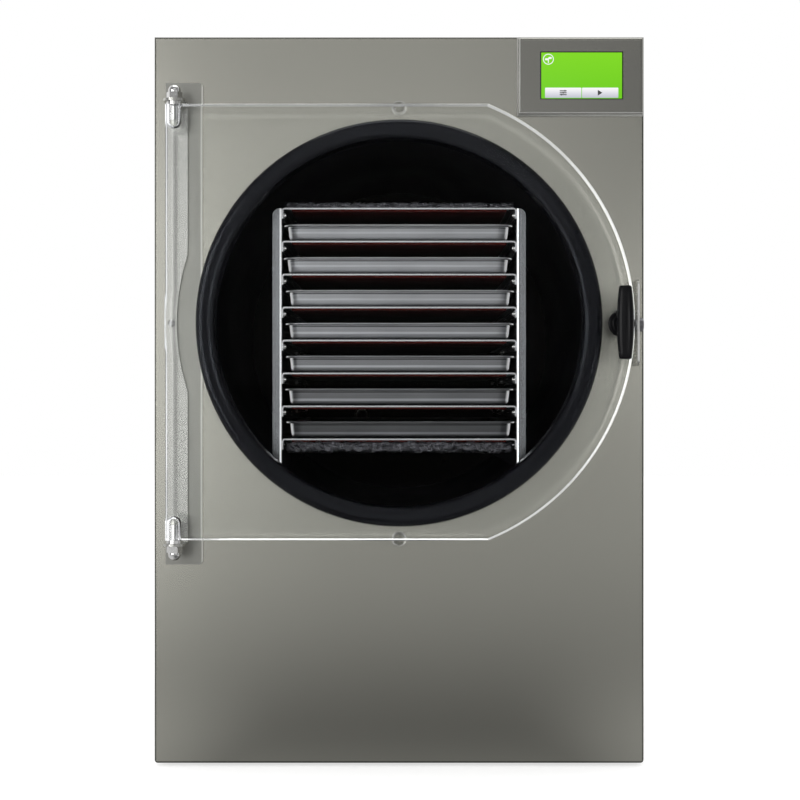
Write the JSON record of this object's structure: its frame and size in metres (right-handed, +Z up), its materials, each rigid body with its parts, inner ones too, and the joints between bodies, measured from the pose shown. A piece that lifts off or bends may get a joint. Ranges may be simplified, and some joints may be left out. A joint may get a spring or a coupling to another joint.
{
  "type": "freeze dryer",
  "caption": "Upright stainless steel cabinet with a round vacuum chamber behind a clear D-shaped door, a heated shelf rack with trays, a touch screen and a refrigeration unit in its base.",
  "frame": {"origin": "on the floor under the middle of the machine's outer box", "axes": "+Z up along the cabinet's height, the front with its door faces -Y, +X to the right seen from the front"},
  "size_m": [0.616, 0.8499, 0.918],
  "materials": {
    "satin_steel": "satin rolled stainless steel",
    "galvanised": "dull galvanised sheet",
    "rubber": "smooth black rubber",
    "screen": "lit display behind glass",
    "circuit_board": "lacquered board",
    "chamber_coating": "smooth black coating",
    "foam": "closed-cell foam",
    "copper": "drawn copper",
    "clear_acrylic": "clear, with polished edges",
    "clear_bumper": "clear soft plastic",
    "polished_steel": "polished stainless steel",
    "rack_steel": "bright folded stainless sheet",
    "tray_steel": "drawn stainless sheet",
    "heater_silicone": "dark red silicone",
    "foil": "crinkled foil",
    "black_paint": "semi-gloss black enamel",
    "aluminium_fins": "thin rolled fins",
    "black_plastic": "satin black plastic",
    "brass": "turned brass",
    "red_vinyl": "dipped vinyl"
  },
  "bodies": {
    "cabinet": {"front_panel": "satin_steel", "cabinet_shell": "satin_steel", "back_panel": "satin_steel", "base_pan": "galvanised", "feet": "rubber", "control_cover": "satin_steel", "touch_screen": "screen", "control_board": "circuit_board", "vacuum_chamber": "chamber_coating", "chamber_insulation": "foam", "evaporator_coil": "copper", "door_gasket": "rubber", "hinge_backing_plate": "satin_steel", "hinge_bracket": "satin_steel", "strike_bracket": "satin_steel", "catch_bolt": "polished_steel", "door_bumpers": "clear_bumper", "panel_screws": "polished_steel", "rack_side_left": "rack_steel", "rack_side_right": "rack_steel", "shelf_1": "rack_steel", "shelf_2": "rack_steel", "shelf_3": "rack_steel", "shelf_4": "rack_steel", "shelf_5": "rack_steel", "shelf_6": "rack_steel", "shelf_7": "rack_steel", "shelf_8": "rack_steel", "tray_1": "tray_steel", "tray_2": "tray_steel", "tray_3": "tray_steel", "tray_4": "tray_steel", "tray_5": "tray_steel", "tray_6": "tray_steel", "tray_7": "tray_steel", "heater_pads": "heater_silicone", "upper_foil_pad": "foil", "lower_foil_pad": "foil", "rack_rivets": "polished_steel", "compressor": "black_paint", "condenser": "aluminium_fins", "fan_frame": "black_plastic", "refrigerant_lines": "copper", "power_inlet": "black_plastic", "vacuum_port": "polished_steel", "drain_valve": "brass"},
    "door": {"door_panel": "clear_acrylic", "hinge_studs": "polished_steel", "hinge_sleeves": "polished_steel", "hinge_washers": "polished_steel", "cap_nuts": "polished_steel", "handle_base": "black_plastic", "housing_nut": "polished_steel"},
    "handle": {"handle_bar": "black_plastic", "latch_spindle": "polished_steel", "latch_cam": "polished_steel", "cam_screw": "polished_steel"},
    "fan": {"fan_rotor": "black_plastic"},
    "rocker": {"switch_rocker": "black_plastic"},
    "drain_lever": {"drain_lever": "red_vinyl"}
  },
  "joints": [
    {"name": "door_swing", "type": "hinge", "parent": "cabinet", "child": "door", "pos_m": [-0.278, -0.36575, 0.557], "axis": [0, 0, -1], "range_deg": [0, 180]},
    {"name": "handle_turn", "type": "hinge", "parent": "door", "child": "handle", "pos_m": [0.2735, -0.37845, 0.555], "axis": [0, 1, 0], "range_deg": [0, 90]},
    {"name": "fan_spin", "type": "hinge", "parent": "cabinet", "child": "fan", "pos_m": [0.15, 0.34145, 0.1235], "axis": [0, 1, 0], "continuous": true},
    {"name": "switch_rock", "type": "hinge", "parent": "cabinet", "child": "rocker", "pos_m": [-0.215, 0.35745, 0.205], "axis": [-1, 0, 0], "range_deg": [0, 18]},
    {"name": "drain_turn", "type": "hinge", "parent": "cabinet", "child": "drain_lever", "pos_m": [0.07, 0.38995, 0.362], "axis": [0, 0, 1], "range_deg": [0, 90]}
  ]
}
